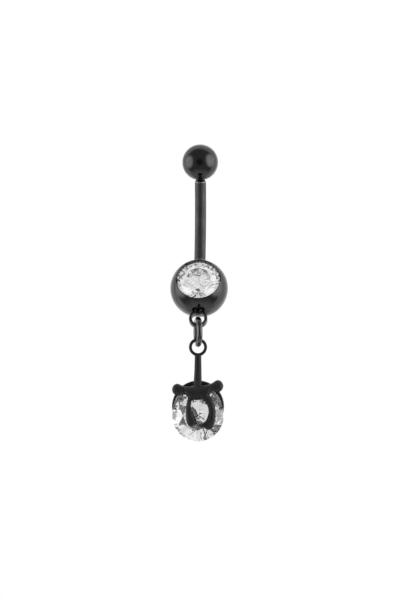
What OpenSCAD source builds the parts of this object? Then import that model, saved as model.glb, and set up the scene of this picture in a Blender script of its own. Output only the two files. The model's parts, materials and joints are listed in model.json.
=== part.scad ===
// Navel ring with a hanging stone: a curved bar, a plain ball that turns off its top end,
// a ball with a set stone at its lower end, and a jump ring that carries a stone in a claw setting.
// Millimetres. Z is up and the front faces -Y. The origin is the middle of the bar's curve.

/* [Bar] */
// Diameter of the bar, 14 gauge
bar_d = 1.6; // [1.2:0.05:2]
// Length of the bar along its curve, from end face to end face
bar_len = 12.4; // [10:0.1:16]
// Angle that the bar turns through from end to end
bar_bend = 44; // [24:1:64]
// Angle that the middle of the bar leans back at its top
bar_lean = 8; // [0:1:12]
// Height of the bevel round each end of the bar
bar_bevel = 0.28; // [0.1:0.02:0.32]
// Diameter of the plain post at each end of the bar
post_d = 0.9; // [0.6:0.05:1]
// Length of the post that the top ball turns off
top_post_len = 3; // [2:0.1:3.4]
// Length of the post in the lower ball
low_post_len = 1.7; // [1.2:0.1:1.8]

/* [Balls] */
// Diameter of the plain top ball
top_ball_d = 5.1; // [4.6:0.1:6]
// Diameter of the lower ball, which holds a stone
gem_ball_d = 8.15; // [8:0.05:9]
// Diameter of the flat where a ball meets the bar
seat_d = 1.4; // [1.2:0.05:2]
// Diameter of the flat rim round the stone in the lower ball
rim_d = 6.28; // [6.2:0.02:6.4]
// Diameter of the stone in the lower ball
ball_stone_d = 6; // [5.4:0.05:6.05]
// Depth that the stone's girdle lies behind the rim
ball_stone_sunk = 0.56; // [0.3:0.02:0.7]

/* [Loop under the lower ball] */
// Outer diameter of the loop
loop_od = 2.6; // [2.5:0.02:2.8]
// Wall of the loop, across the hole
loop_wall = 0.44; // [0.42:0.02:0.48]
// Thickness of the loop, along the hole
loop_thick = 0.9; // [0.7:0.05:0.95]
// Radius of the loop's rounded edges
loop_edge_r = 0.2; // [0.08:0.02:0.2]
// Depth that the loop is soldered into the ball
loop_sunk = 0.36; // [0.2:0.02:0.4]

/* [Jump ring] */
// Outer diameter of the jump ring
ring_od = 4.28; // [4.2:0.02:5]
// Diameter of the jump ring's wire
ring_wire = 0.8; // [0.6:0.02:0.84]
// Angle that the jump ring stands turned away from the side plane
ring_turn = 11; // [0:1:20]

/* [Hanging setting] */
// Diameter of the hanging stone
drop_stone_d = 7.2; // [6.4:0.05:8]
// Outer diameter of the eyelet at the top of the setting
eyelet_od = 2.56; // [2.5:0.02:3]
// Diameter of the eyelet's wire
eyelet_wire = 0.44; // [0.3:0.02:0.46]
// Height from the stone's centre to the eyelet's centre
stem_len = 9.55; // [8.6:0.05:11]
// Width of the stem below the eyelet
stem_w = 0.92; // [0.6:0.02:1.1]
// Width of the stem where it meets the crossbar
stem_root_w = 1.16; // [0.8:0.02:1.4]
// Outer diameter of the collar behind the stone
collar_d = 7.24; // [7.1:0.05:8.2]
// Height of the collar's centre over the stone's centre
collar_rise = 1.25; // [0.9:0.05:1.5]
// Distance that the collar reaches in front of the stone's girdle
collar_front = 0.64; // [0.4:0.02:0.8]
// Distance that the collar reaches behind the stone's girdle
collar_back = 0.96; // [0.7:0.02:1.2]
// Angle that the crossbar rises to the right
crossbar_tilt = 5.2; // [0:0.2:8]
// Distance that the stone's girdle lies behind the eyelet, so that the setting hangs upright
stone_set_back = 0.08; // [0:0.02:0.6]

/* [Stone cut] */
// Width of the table as a share of the stone
table_share = 0.57; // [0.5:0.01:0.65]
// Slope of the main facets above the girdle
crown_angle = 34.5; // [30:0.5:38]
// Slope of the main facets below the girdle
pavilion_angle = 40.75; // [39:0.25:42]
// Thickness of the girdle as a share of the stone's diameter
girdle_share = 0.03; // [0.02:0.005:0.04]
// Length of the star facets, from the table's edge towards the girdle
star_share = 0.5; // [0.4:0.05:0.6]
// Length of the lower girdle facets, from the girdle towards the point
lower_share = 0.77; // [0.7:0.01:0.85]

/* [Clearances] */
// Gap between a post and its bore, all round
post_gap = 0.03; // [0.02:0.01:0.05]
// Gap between the end of a post and the bottom of its bore
bore_end_gap = 0.18; // [0.1:0.02:0.3]
// Gap between a bar's end face and the ball that it meets
seat_gap = 0.03; // [0.02:0.01:0.08]
// Gap between a stone and the metal round it
stone_gap = 0.05; // [0.03:0.01:0.08]
// Gap between two links that hang in each other
link_gap = 0.06; // [0.04:0.01:0.1]

/* [Hidden] */

metal = "#2b2b2d";
stone = "#e6eaee";
round_fn = 96;
wire_fn = 48;
bend_fn = 384;
section_sides = 14;
rows_between = 3;

// A place on the bar's arc is named by the angle of its radius over the horizontal.
bar_r = bar_d / 2;
bend_r = bar_len / (bar_bend * PI / 180);
low_tilt = bar_bend / 2 + bar_lean;
top_tilt = bar_bend / 2 - bar_lean;
function on_arc(angle) = bend_r * [0, cos(angle) - cos(bar_lean), sin(angle) + sin(bar_lean)];
top_way = [0, -sin(top_tilt), cos(top_tilt)];
low_way = [0, -sin(low_tilt), -cos(low_tilt)];

// A ball's centre lies past the bar's end face by the height of the flat that it seats on.
top_ball_r = top_ball_d / 2;
gem_ball_r = gem_ball_d / 2;
bore_d = post_d + 2 * post_gap;
top_seat = sqrt(pow(top_ball_r, 2) - pow(seat_d / 2, 2));
low_seat = sqrt(pow(gem_ball_r, 2) - pow(seat_d / 2, 2));
top_ball_at = on_arc(top_tilt) + (seat_gap + top_seat) * top_way;
gem_ball_at = on_arc(-low_tilt) + (seat_gap + low_seat) * low_way;
rim_at = sqrt(pow(gem_ball_r, 2) - pow(rim_d / 2, 2));

// The links: each hangs on the middle of the wire above it.
loop_mid_r = (loop_od - loop_wall) / 2;
loop_drop = gem_ball_r + loop_od / 2 - loop_sunk;
hook_at = gem_ball_at + (loop_drop + loop_mid_r) * low_way;
ring_mid_r = (ring_od - ring_wire) / 2;
ring_at = hook_at - [0, 0, ring_mid_r - ring_wire / 2 - loop_thick / 2 - link_gap];
eyelet_mid_r = (eyelet_od - eyelet_wire) / 2;
pivot_at = ring_at - [0, 0, ring_mid_r];
eyelet_at = pivot_at - [0, 0, eyelet_mid_r - eyelet_wire / 2 - ring_wire / 2 - link_gap];
drop_stone_at = eyelet_at + [0, stone_set_back, -stem_len];
drop_r = drop_stone_d / 2;

// Sizes of a brilliant cut stone with a radius of 1, measured from the middle of its girdle.
// Each kind of facet lies at a turn from a corner of the eight-sided table.
main_facets = 8;
main_turn = 360 / main_facets;
star_turn = main_turn / 2;
girdle_turn = main_turn / 4;
girdle_z = girdle_share;
table_z = girdle_z + (1 - table_share) * tan(crown_angle);
table_flat_r = table_share * cos(star_turn);
star_tip_r = table_flat_r + star_share * (1 - table_flat_r);
star_tip_z = girdle_z + (1 - star_tip_r * cos(star_turn)) * tan(crown_angle);
star_slope = atan((table_z - star_tip_z) / (star_tip_r - table_flat_r));
upper_slope = atan((star_tip_z - girdle_z) / (1 - star_tip_r * cos(girdle_turn)));
lower_tip_r = 1 - lower_share;
lower_tip_z = (1 - lower_tip_r * cos(star_turn)) * tan(pavilion_angle);
lower_slope = atan(lower_tip_z / (1 - lower_tip_r * cos(girdle_turn)));
point_z = girdle_z + tan(pavilion_angle);

// Height of the crossbar's middle over the stone's centre, in shares of the hanging stone's radius.
crossbar_rise = 1.07;

// Crossbar of the setting from its middle to one lobe, in shares of the hanging stone's radius:
// distance along, top edge, bottom edge, front, back. The other half is its mirror image.
crossbar_rows = [
    [0.00, 0.10, -0.46, -0.58, -0.10],
    [0.28, 0.09, -0.44, -0.58, -0.10],
    [0.40, 0.10, -0.34, -0.56, -0.08],
    [0.50, 0.12, -0.22, -0.52, -0.06],
    [0.62, 0.17, -0.19, -0.50, -0.04],
    [0.76, 0.24, -0.23, -0.50, -0.02],
    [0.88, 0.22, -0.20, -0.48, -0.04],
    [0.96, 0.14, -0.12, -0.42, -0.10],
    [1.00, 0.03, -0.02, -0.30, -0.20]
];

// Claws over the front of the stone, in shares of the hanging stone's radius from its centre:
// height, left edge, right edge, front, back.
left_claw_rows = [
    [0.92, -0.35, 0.04, -0.56, -0.24],
    [0.68, -0.38, -0.06, -0.60, -0.28],
    [0.57, -0.40, -0.22, -0.62, -0.30],
    [0.42, -0.43, -0.25, -0.64, -0.32],
    [0.22, -0.45, -0.21, -0.64, -0.32],
    [-0.05, -0.45, -0.10, -0.62, -0.30],
    [-0.21, -0.43, -0.04, -0.60, -0.28],
    [-0.30, -0.40, -0.02, -0.58, -0.27],
    [-0.37, -0.36, -0.12, -0.54, -0.27],
    [-0.42, -0.31, -0.24, -0.46, -0.30]
];
right_claw_rows = [
    [0.96, -0.03, 0.40, -0.56, -0.24],
    [0.76, 0.04, 0.50, -0.60, -0.28],
    [0.60, 0.23, 0.60, -0.62, -0.30],
    [0.42, 0.37, 0.67, -0.64, -0.30],
    [0.18, 0.43, 0.71, -0.62, -0.27],
    [-0.13, 0.35, 0.70, -0.60, -0.24],
    [-0.27, 0.20, 0.67, -0.58, -0.23],
    [-0.35, 0.03, 0.64, -0.56, -0.22],
    [-0.42, 0.08, 0.61, -0.54, -0.22],
    [-0.47, 0.24, 0.58, -0.50, -0.22],
    [-0.54, 0.38, 0.52, -0.40, -0.26]
];

// Stem from the eyelet down to the crossbar: share of the way down, share of the way from its top
// width to its root width, share of the way forward.
stem_rows = [
    [0.00, 0.00, 0.00],
    [0.40, 0.30, 0.12],
    [0.75, 0.75, 0.55],
    [1.00, 1.00, 1.00]
];
stem_foot_forward = 0.34;
stem_depth_share = 0.9;

// Smooth curve through the rows of a table, with new rows between each two.
function blend(a, b, c, d, t) =
    let (
        linear = c - a,
        square = 2 * a - 5 * b + 4 * c - d,
        cubic = 3 * b - a - 3 * c + d
    )
    b + (linear * t + square * t * t + cubic * t * t * t) / 2;
function smooth_rows(rows) = [
    for (i = [0 : len(rows) - 2])
        let (before = rows[max(i - 1, 0)], after = rows[min(i + 2, len(rows) - 1)])
        for (step = [0 : rows_between - 1])
            blend(before, rows[i], rows[i + 1], after, step / rows_between),
    rows[len(rows) - 1]
];

// Closed skin over a stack of rings that have the same number of points.
module skin(rings) {
    sides = len(rings[0]);
    last = (len(rings) - 1) * sides;
    walls = [
        for (i = [0 : len(rings) - 2])
            for (j = [0 : sides - 1])
                for (half = [0, 1])
                    let (a = i * sides + j, b = i * sides + (j + 1) % sides)
                    half == 0 ? [a, b + sides, b] : [a, a + sides, b + sides]
    ];
    first_cap = [for (j = [0 : sides - 1]) j];
    last_cap = [for (j = [sides - 1 : -1 : 0]) last + j];
    polyhedron(
        points = [for (ring = rings) for (point = ring) point],
        faces = concat([first_cap], walls, [last_cap])
    );
}

// Ellipses across a loft, which fill the box between the low and high edges of their row.
function level_ring(z, low_x, high_x, low_y, high_y) = [
    for (j = [0 : section_sides - 1])
        let (turn = -360 * j / section_sides)
        [
            (low_x + high_x + (high_x - low_x) * cos(turn)) / 2,
            (low_y + high_y + (high_y - low_y) * sin(turn)) / 2,
            z
        ]
];
function upright_ring(x, top, bottom, front, back) = [
    for (j = [0 : section_sides - 1])
        let (turn = 360 * j / section_sides)
        [
            x,
            (front + back + (back - front) * cos(turn)) / 2,
            (top + bottom + (top - bottom) * sin(turn)) / 2
        ]
];

// Turns a drawing from the XY plane into the side plane, YZ.
module in_side_plane() {
    rotate([90, 0, 90]) children();
}

// Places at the bar's end faces, with Z along the bar and outwards.
module at_top_end() {
    translate(on_arc(top_tilt)) rotate([top_tilt, 0, 0]) children();
}
module at_low_end() {
    translate(on_arc(-low_tilt)) rotate([180 - low_tilt, 0, 0]) children();
}

// Round wire bent to the bar's arc, a little longer than the bar.
module bent_wire() {
    spare = atan(bar_bevel / bend_r);
    in_side_plane() translate(bend_r * [-cos(bar_lean), sin(bar_lean), 0]) {
        rotate_extrude(start = -low_tilt - spare, angle = bar_bend + 2 * spare, $fn = bend_fn) {
            translate([bend_r, 0]) circle(d = bar_d, $fn = wire_fn);
        }
    }
}

// What is turned away at an end of the bar: all past the end face, and the bevel round it.
module end_cut() {
    rotate_extrude($fn = wire_fn) polygon([
        [0, 0],
        [bar_r - bar_bevel, 0],
        [bar_r + bar_bevel, -2 * bar_bevel],
        [2 * bar_r, -2 * bar_bevel],
        [2 * bar_r, 2 * bar_bevel],
        [0, 2 * bar_bevel]
    ]);
}

// Post on an end face, rooted in the bar.
module post(len) {
    translate([0, 0, -post_d]) cylinder(d = post_d, h = post_d + len, $fn = wire_fn);
}

module bar() {
    color(metal) {
        difference() {
            bent_wire();
            at_top_end() end_cut();
            at_low_end() end_cut();
        }
        at_top_end() post(top_post_len);
        at_low_end() post(low_post_len);
    }
}

// Ball with a flat and a blind bore for a post. The flat faces down.
module bored_ball(ball_r, seat, post_len) {
    bore_h = post_len + bore_end_gap;
    difference() {
        sphere(r = ball_r, $fn = round_fn);
        translate([-ball_r, -ball_r, -seat - ball_r]) cube([2 * ball_r, 2 * ball_r, ball_r]);
        translate([0, 0, -ball_r]) cylinder(d = bore_d, h = ball_r - seat + bore_h, $fn = wire_fn);
    }
}

module top_ball() {
    color(metal) translate(top_ball_at) rotate([top_tilt, 0, 0]) {
        bored_ball(top_ball_r, top_seat, top_post_len);
    }
}

// Place of the lower ball, with Z towards the bar and -Y out of the stone's face.
module at_gem_ball() {
    translate(gem_ball_at) rotate([-low_tilt, 0, 0]) children();
}

// Place of the lower ball's stone within that ball, with Z out of the face.
module at_ball_stone() {
    translate([0, ball_stone_sunk + girdle_z * ball_stone_d / 2 - rim_at, 0]) {
        rotate([90, 0, 0]) children();
    }
}

// Profile of the loop's flat wire with round edges, centred on the origin.
module flat_wire() {
    square([loop_wall - 2 * loop_edge_r, loop_thick], center = true);
    square([loop_wall, loop_thick - 2 * loop_edge_r], center = true);
    for (x = [-1, 1]) {
        for (y = [-1, 1]) {
            translate([x * (loop_wall / 2 - loop_edge_r), y * (loop_thick / 2 - loop_edge_r)]) {
                circle(r = loop_edge_r, $fn = wire_fn);
            }
        }
    }
}

// Lower ball: the rim is cut flat, the stone's cup is sunk in it, and the loop is soldered below.
module gem_ball() {
    color(metal) at_gem_ball() {
        difference() {
            rotate([180, 0, 0]) bored_ball(gem_ball_r, low_seat, low_post_len);
            translate([-gem_ball_r, -rim_at - gem_ball_r, -gem_ball_r]) {
                cube([gem_ball_d, gem_ball_r, gem_ball_d]);
            }
            at_ball_stone() stone_cup(ball_stone_d / 2, gem_ball_r);
        }
        translate([0, 0, -loop_drop]) rotate([90, 0, 0]) rotate_extrude($fn = round_fn) {
            translate([loop_mid_r, 0]) flat_wire();
        }
    }
}

module ball_stone() {
    color(stone) at_gem_ball() at_ball_stone() brilliant(ball_stone_d / 2);
}

module jump_ring() {
    color(metal) translate(ring_at) rotate([0, 0, ring_turn]) in_side_plane() {
        rotate_extrude($fn = round_fn) translate([ring_mid_r, 0]) circle(d = ring_wire, $fn = wire_fn);
    }
}

// Block above a facet's plane, which falls outwards at a slope from a point at radius foot, height z.
module facet_cut(azimuth, slope, foot, z, size) {
    rotate([0, 0, azimuth]) translate([foot, 0, z]) rotate([0, slope, 0]) {
        translate([-size, -size, 0]) cube([2 * size, 2 * size, size]);
    }
}

// Brilliant cut stone with its table up: table, star, main and girdle facets, and the facets below.
// A cut stone is convex, so its hull is the stone itself, as one skin of flat facets.
module brilliant(r) {
    hull() difference() {
        translate([0, 0, -r]) cylinder(r = r, h = r * (1 + table_z), $fn = round_fn);
        for (k = [0 : main_facets - 1]) {
            facet_cut(k * main_turn, crown_angle, r, r * girdle_z, 2 * r);
            facet_cut(k * main_turn + star_turn, star_slope, r * table_flat_r, r * table_z, 2 * r);
            mirror([0, 0, 1]) facet_cut(k * main_turn, pavilion_angle, r, r * girdle_z, 2 * r);
            for (side = [-1, 1]) {
                turn = k * main_turn + side * girdle_turn;
                facet_cut(turn, upper_slope, r, r * girdle_z, 2 * r);
                mirror([0, 0, 1]) facet_cut(turn, lower_slope, r, r * girdle_z, 2 * r);
            }
        }
    }
}

// Room that a stone takes up to a height over its girdle, with a gap all round: a cup for its lower half.
module stone_cup(r, cup_h) {
    wall = r + stone_gap;
    rotate_extrude($fn = round_fn) polygon([
        [0, -r * point_z - 2 * stone_gap],
        [wall, -r * girdle_z - stone_gap],
        [wall, cup_h],
        [0, cup_h]
    ]);
}

// Room that a whole stone takes, with a gap all round, so that claws can lie over its upper half.
module whole_stone_room(r) {
    wall = r + stone_gap;
    rotate_extrude($fn = round_fn) polygon([
        [0, -r * point_z - 2 * stone_gap],
        [wall, -r * girdle_z - stone_gap],
        [wall, r * girdle_z + 2 * stone_gap],
        [r * star_tip_r, r * star_tip_z + 2 * stone_gap],
        [r * table_share, r * table_z + stone_gap],
        [0, r * table_z + stone_gap]
    ]);
}

// Crossbar with a lobe at each end.
module crossbar() {
    right = smooth_rows(crossbar_rows);
    left = [
        for (i = [len(right) - 1 : -1 : 1])
            [-right[i][0], right[i][1], right[i][2], right[i][3], right[i][4]]
    ];
    translate([0, 0, drop_r * crossbar_rise]) rotate([0, -crossbar_tilt, 0]) {
        skin([
            for (row = concat(left, right))
                drop_r * upright_ring(row[0], row[1], row[2], row[3], row[4])
        ]);
    }
}

module claw(rows) {
    skin([
        for (row = smooth_rows(rows))
            drop_r * level_ring(row[0], row[1], row[2], row[3], row[4])
    ]);
}

// Stem that comes forward on its way from the eyelet down to the crossbar.
module stem() {
    top_z = stem_len - eyelet_mid_r;
    foot_z = drop_r * crossbar_rise;
    foot_y = -drop_r * stem_foot_forward;
    skin([
        for (row = smooth_rows(stem_rows))
            let (
                z = top_z + (foot_z - top_z) * row[0],
                half_w = (stem_w + (stem_root_w - stem_w) * row[1]) / 2,
                half_depth = stem_depth_share * half_w,
                y = -stone_set_back + (foot_y + stone_set_back) * row[2]
            )
            level_ring(z, -half_w, half_w, y - half_depth, y + half_depth)
    ]);
}

// Collar round the back of the stone, open in front of it.
module collar() {
    difference() {
        translate([0, -collar_front, collar_rise]) rotate([-90, 0, 0]) {
            cylinder(d = collar_d, h = collar_front + collar_back, $fn = round_fn);
        }
        rotate([90, 0, 0]) stone_cup(drop_r, 2 * collar_front);
    }
}

module claw_setting() {
    color(metal) translate(drop_stone_at) {
        difference() {
            union() {
                crossbar();
                claw(left_claw_rows);
                claw(right_claw_rows);
                stem();
            }
            rotate([90, 0, 0]) whole_stone_room(drop_r);
        }
        collar();
        translate([0, -stone_set_back, stem_len]) rotate([90, 0, 0]) rotate_extrude($fn = round_fn) {
            translate([eyelet_mid_r, 0]) circle(d = eyelet_wire, $fn = wire_fn);
        }
    }
}

module pendant_stone() {
    color(stone) translate(drop_stone_at) rotate([90, 0, 0]) brilliant(drop_r);
}

bar();
top_ball();
gem_ball();
ball_stone();
jump_ring();
claw_setting();
pendant_stone();
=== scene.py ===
"""Looks of a navel ring: black coated metal and two clear brilliant cut stones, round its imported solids.

The solids are in metres, and shapes are worked out here in millimetres and scaled once they are whole.
Z is up, the front faces -Y, and the origin is the middle of the bar's curve.
"""

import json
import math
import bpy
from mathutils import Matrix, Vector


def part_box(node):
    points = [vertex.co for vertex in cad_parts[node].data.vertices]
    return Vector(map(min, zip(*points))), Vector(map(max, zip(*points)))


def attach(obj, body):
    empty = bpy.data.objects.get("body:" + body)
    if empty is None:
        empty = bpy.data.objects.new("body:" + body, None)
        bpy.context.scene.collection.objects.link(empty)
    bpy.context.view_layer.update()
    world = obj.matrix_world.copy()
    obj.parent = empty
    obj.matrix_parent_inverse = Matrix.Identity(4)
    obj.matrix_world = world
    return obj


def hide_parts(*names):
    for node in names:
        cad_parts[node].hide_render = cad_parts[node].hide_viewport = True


bl_info = {
    "name": "Navel ring",
    "version": (1, 0, 0),
    "blender": (4, 5, 0),
    "location": "3D View > Sidebar > Navel ring",
    "description": "Black navel ring with a stone-set ball and a stone in a hanging claw setting",
    "category": "Object",
}

import bmesh
import bpy
import numpy as np
from bpy.props import FloatProperty, FloatVectorProperty, IntProperty, PointerProperty
from bpy.types import Operator, Panel, PropertyGroup
from mathutils import Matrix, Vector

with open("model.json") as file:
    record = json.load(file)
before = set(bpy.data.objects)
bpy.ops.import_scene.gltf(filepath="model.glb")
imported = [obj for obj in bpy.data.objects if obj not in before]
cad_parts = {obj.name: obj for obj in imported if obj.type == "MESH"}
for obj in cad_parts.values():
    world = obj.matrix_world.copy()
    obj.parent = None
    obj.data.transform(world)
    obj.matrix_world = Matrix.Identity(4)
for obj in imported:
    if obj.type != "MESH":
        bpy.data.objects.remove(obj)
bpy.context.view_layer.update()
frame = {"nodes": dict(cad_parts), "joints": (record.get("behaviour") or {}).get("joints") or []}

MM = 0.001
PHOTO_HEIGHT_PX = 601
JOINTS = {joint["name"]: joint for joint in frame["joints"]}
# Lowest point of the jump ring's middle line, where the eyelet hangs, in millimetres
PIVOT = np.array(JOINTS["drop_swing"]["pos_m"]) / MM

# Points nearer than this are one point, in millimetres.
SAME_POINT = 1e-5
# Reach of a cutting shape past what it cuts, in millimetres
SPARE = 1
# The bar's ends, by the sign of their height
TOP = 1
LOW = -1
# Room at a stone's point and over its crown, along its axis, in gaps
SLOPE_ROOM = 2
# Reach of the hanging stone's bare seat, out from its girdle and over its crown, in gaps
SEAT_OUT = 2
SEAT_OVER = 3
# Faces that meet at more than this angle keep a sharp edge.
SHARP = math.radians(35)
# Turn from a corner of a stone's eight-sided table to the middle of its next side
STAR_TURN = math.pi / 8
# Points along each rounded corner of a profile
CORNER_POINTS = 6
# Rows that a smooth curve has for each row of the tables below
ROWS_BETWEEN = 12
FLOOR_SIDES = 64
# Nearest distance that the camera shows, in metres
NEAREST = 0.01

# Crossbar from its middle to one lobe, in shares of the hanging stone's radius:
# distance along, top edge, bottom edge, front, back. The other half is its mirror image.
CROSSBAR_ROWS = [
    [0.00, 0.10, -0.46, -0.58, -0.10],
    [0.28, 0.09, -0.44, -0.58, -0.10],
    [0.40, 0.10, -0.34, -0.56, -0.08],
    [0.50, 0.12, -0.22, -0.52, -0.06],
    [0.62, 0.17, -0.19, -0.50, -0.04],
    [0.76, 0.24, -0.23, -0.50, -0.02],
    [0.88, 0.22, -0.20, -0.48, -0.04],
    [0.96, 0.14, -0.12, -0.42, -0.10],
    [1.00, 0.03, -0.02, -0.30, -0.20],
]

# Claws over the front of the stone, in shares of its radius from its centre:
# height, left edge, right edge, front, back.
LEFT_CLAW_ROWS = [
    [0.92, -0.35, 0.04, -0.56, -0.24],
    [0.68, -0.38, -0.06, -0.60, -0.28],
    [0.57, -0.40, -0.22, -0.62, -0.30],
    [0.42, -0.43, -0.25, -0.64, -0.32],
    [0.22, -0.45, -0.21, -0.64, -0.32],
    [-0.05, -0.45, -0.10, -0.62, -0.30],
    [-0.21, -0.43, -0.04, -0.60, -0.28],
    [-0.30, -0.40, -0.02, -0.58, -0.27],
    [-0.37, -0.36, -0.12, -0.54, -0.27],
    [-0.42, -0.31, -0.24, -0.46, -0.30],
]
RIGHT_CLAW_ROWS = [
    [0.96, -0.03, 0.40, -0.56, -0.24],
    [0.76, 0.04, 0.50, -0.60, -0.28],
    [0.60, 0.23, 0.60, -0.62, -0.30],
    [0.42, 0.37, 0.67, -0.64, -0.30],
    [0.18, 0.43, 0.71, -0.62, -0.27],
    [-0.13, 0.35, 0.70, -0.60, -0.24],
    [-0.27, 0.20, 0.67, -0.58, -0.23],
    [-0.35, 0.03, 0.64, -0.56, -0.22],
    [-0.42, 0.08, 0.61, -0.54, -0.22],
    [-0.47, 0.24, 0.58, -0.50, -0.22],
    [-0.54, 0.38, 0.52, -0.40, -0.26],
]

# Stem from the eyelet down to the crossbar: share of the way down, share of the way from its top
# width to its root width, share of the way forward.
STEM_ROWS = [
    [0.00, 0.00, 0.00],
    [0.40, 0.30, 0.12],
    [0.75, 0.75, 0.55],
    [1.00, 1.00, 1.00],
]

# Nearly all values of a noise texture lie in this span. Fine marks have more octaves than plain ones.
NOISE_SPAN = (0.3, 0.7)
PLAIN_OCTAVES = 3.0
FINE_OCTAVES = 6.0

# Size of the marks in the finishes, in grains
COAT_CLOUDS = 12
COAT_STREAKS = 3
CAST_CLOUDS = 8
CAST_PATCHES = 2
CAST_WAVES = 4
POLISH_PATCHES = 4

# How closely the fine marks lie along X, Y and Z. Those of the bar and the balls are drawn out upwards.
BAR_MARKS = (1, 1, 0.15)
BALL_MARKS = (1, 1, 0.5)
WIRE_MARKS = (1, 1, 1)

# Shares between which the shade and the roughness of a finish drift
COAT_SHADES = (0.88, 1.12)
COAT_GLOSS = (0.8, 1.2)
CAST_SHADES = (0.85, 1.2)
CAST_GLOSS = (0.85, 1.15)
PAPER_ROUGHNESS = (0.6, 0.8)

# Relief of the finishes: the bump's strength, and its depth in millimetres
COAT_RELIEF = (0.08, 0.02)
WAVE_RELIEF = (0.25, 0.04)
PIT_RELIEF = (0.25, 0.012)
# Share of a painted highlight line's width where the highlight is whole
HIGHLIGHT_CORE = 0.3

# Light round the part by direction: a plain strength, over which soft patches are laid in turn. A row
# is the direction of the patch's middle, the angles in degrees up to which it is whole and past which
# it is gone, and its strength. Metal reflects the room, whose light is a little cloudy: the size of
# the clouds, for directions of length 1, and their lowest and highest share.
ROOM_STRENGTH = 0.25
ROOM_PATCHES = [
    [0.0, 1.0, 0.0, 78, 92, 1.0],
    [0.0, 0.0, -1.0, 15, 52, 0.7],
    [0.0, 0.5, -0.87, 10, 24, 0.4],
    [-1.0, -0.25, 0.05, 14, 38, 1.9],
    [1.0, -0.25, 0.15, 18, 42, 1.9],
    [0.0, -1.0, 0.0, 12, 30, 0.08],
]
ROOM_CLOUDS = (0.35, 0.8, 1.2)

# The stones catch a bright studio with small dark things in it, which are where a noise of this scale
# is under the first limit. They are gone where it is over the second.
STONE_STRENGTH = 0.95
STONE_DARK = 0.3
STONE_PATCHES = [
    [0.0, -1.0, 0.0, 5, 11, 0.75],
]
DARK_THINGS_SCALE = 11.0
DARK_THINGS_OCTAVES = 1.0
DARK_THINGS_LIMITS = (0.34, 0.42)


# Settings


def length(name, description, millimetres, least=0):
    """Property for a length that is given in millimetres and kept in metres."""
    return FloatProperty(
        name=name, description=description, default=millimetres * MM, min=least * MM, precision=5,
        unit="LENGTH", subtype="DISTANCE",
    )


def angle(name, description, degrees):
    """Property for an angle that is given in degrees and kept in radians."""
    return FloatProperty(
        name=name, description=description, default=math.radians(degrees),
        unit="ROTATION", subtype="ANGLE",
    )


def share(name, description, default, top=1.0):
    """Property for a plain share or strength."""
    return FloatProperty(
        name=name, description=description, default=default, min=0, max=top, subtype="FACTOR",
    )


def number(name, description, default):
    """Property for a plain number."""
    return FloatProperty(name=name, description=description, default=default, min=0)


def count(name, description, default, least):
    """Property for a whole number."""
    return IntProperty(name=name, description=description, default=default, min=least)


def colour(name, description, default):
    """Property for a colour with linear channels."""
    return FloatVectorProperty(
        name=name, description=description, default=default, size=3, min=0, max=1, subtype="COLOR",
    )


class BarSizes(PropertyGroup):
    diameter: length("Diameter", "Diameter of the bar, 14 gauge", 1.6)
    length: length("Length", "Length along the curve, from end face to end face", 12.4)
    bend: angle("Bend", "Angle that the bar turns through from end to end", 44)
    lean: angle("Lean", "Angle that the middle of the bar leans back at its top", 8)
    bevel: length("Bevel", "Height of the bevel round each end", 0.28)
    edge: length("Edge", "Rounding of the bar's edges", 0.03)
    post_d: length("Post", "Diameter of the plain post at each end", 0.9)
    top_post: length("Top post", "Length of the post that the top ball turns off", 3)
    low_post: length("Low post", "Length of the post in the lower ball", 1.7)


class BallSizes(PropertyGroup):
    top_d: length("Top ball", "Diameter of the plain top ball", 5.1)
    top_edge: length("Top ball's edge", "Rounding of the edges round the top ball's bore", 0.04)
    gem_d: length("Lower ball", "Diameter of the ball that holds a stone", 8.15)
    seat_d: length("Seat", "Diameter of the flat where a ball meets the bar", 1.4)
    bore_edge: length("Bore's edge", "Rounding of the edges round the lower ball's bore", 0.02)
    rim_d: length("Rim", "Diameter of the flat rim round the stone", 6.28)
    rim_edge: length("Rim's edge", "Rounding of the rim's edges", 0.03)
    stone_d: length("Stone", "Diameter of the stone in the lower ball", 6)
    stone_sunk: length("Stone depth", "Depth of the stone's girdle behind the rim", 0.56)
    loop_od: length("Loop", "Outer diameter of the loop under the lower ball", 2.6)
    loop_wall: length("Loop wall", "Wall of the loop across its hole", 0.44)
    loop_thick: length("Loop thickness", "Thickness of the loop along its hole", 0.9)
    loop_edge: length("Loop edge", "Radius of the loop's rounded edges", 0.2)
    loop_sunk: length("Loop depth", "Depth that the loop is soldered into the ball", 0.36)


class LinkSizes(PropertyGroup):
    ring_od: length("Jump ring", "Outer diameter of the jump ring", 4.28)
    ring_wire: length("Ring wire", "Diameter of the jump ring's wire", 0.8)
    ring_turn: angle("Ring turn", "Angle that the jump ring stands turned from the side plane", 11)
    eyelet_od: length("Eyelet", "Outer diameter of the eyelet", 2.56)
    eyelet_wire: length("Eyelet wire", "Diameter of the eyelet's wire", 0.44)


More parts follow.
